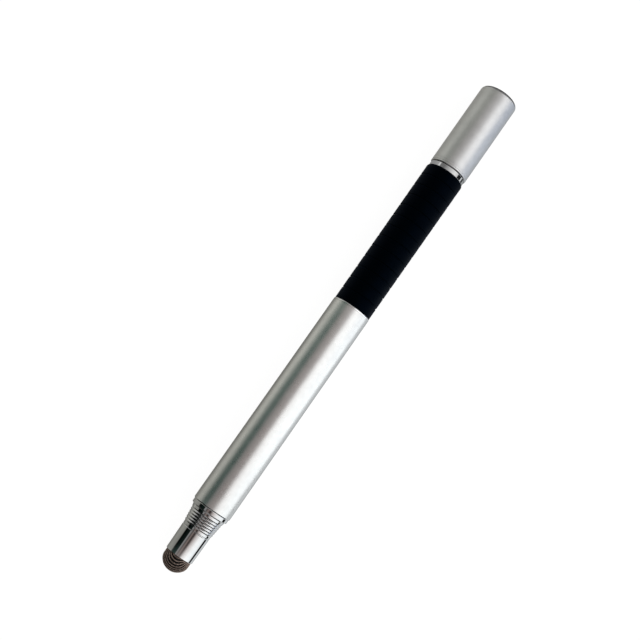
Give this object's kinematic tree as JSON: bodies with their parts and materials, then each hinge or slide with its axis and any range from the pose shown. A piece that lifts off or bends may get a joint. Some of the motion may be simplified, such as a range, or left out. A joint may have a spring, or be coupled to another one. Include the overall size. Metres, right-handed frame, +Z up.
{
  "type": "stylus pen",
  "caption": "Slim capacitive stylus pen with a knitted fibre tip in a ridged bright ferrule, a satin barrel, a grooved black rubber grip and a pull-off cap over a tilting clear disc tip.",
  "frame": {"origin": "on the surface the pen lies on, under the middle of its length", "axes": "+X along the pen from the fibre tip to the cap, +Z up, +Y to the left of the pen's length"},
  "size_m": [0.133, 0.0096, 0.0096],
  "materials": {
    "satin_aluminium": "satin anodised",
    "chrome": "polished plating",
    "brass": "turned",
    "steel": "turned and polished",
    "black_rubber": "moulded, slight sheen",
    "soft_silicone": "moulded, matt",
    "mesh_fabric": "fine metallised knit",
    "clear_plastic": "clear, polished",
    "white_plastic": "moulded"
  },
  "bodies": {
    "handle": {"barrel_tube": "satin_aluminium", "end_bush": "brass", "coupler": "brass", "grip_core": "satin_aluminium", "grip_sleeve": "black_rubber", "collar_ring": "chrome", "nose_cone": "chrome", "cap_oring": "black_rubber", "disc_stem": "steel", "pivot_ball": "steel"},
    "end_ring": {"end_ring": "chrome"},
    "fibre_tip": {"tip_ferrule": "chrome", "tip_post": "brass", "tip_core": "soft_silicone", "tip_mesh": "mesh_fabric", "tip_crimp": "brass"},
    "cap": {"cap_shell": "satin_aluminium", "cap_liner": "white_plastic"},
    "disc_liner": {"ball_liner": "white_plastic"},
    "disc": {"disc_hub": "steel", "clear_disc": "clear_plastic"}
  },
  "joints": [
    {"name": "cap_pull", "type": "slide", "parent": "handle", "child": "cap", "axis": [1, 0, 0], "range_m": [0, 0.03]},
    {"name": "disc_tilt", "type": "hinge", "parent": "handle", "child": "disc_liner", "pos_m": [0.0575, 0, 0.0048], "axis": [0, 1, 0], "range_deg": [-28, 28]},
    {"name": "disc_swing", "type": "hinge", "parent": "disc_liner", "child": "disc", "pos_m": [0.0575, 0, 0.0048], "axis": [0, 0, 1], "range_deg": [-28, 28]},
    {"name": "tip_advance", "type": "slide", "parent": "handle", "child": "end_ring", "axis": [-1, 0, 0], "range_m": [0, 0.004]},
    {"name": "tip_unscrew", "type": "hinge", "parent": "end_ring", "child": "fibre_tip", "pos_m": [-0.0503, 0, 0.0048], "axis": [-1, 0, 0], "range_deg": [0, 1440]}
  ],
  "couplings": [
    {"joint": "tip_unscrew", "follows": "tip_advance", "rad_per_m": 6283.2}
  ]
}
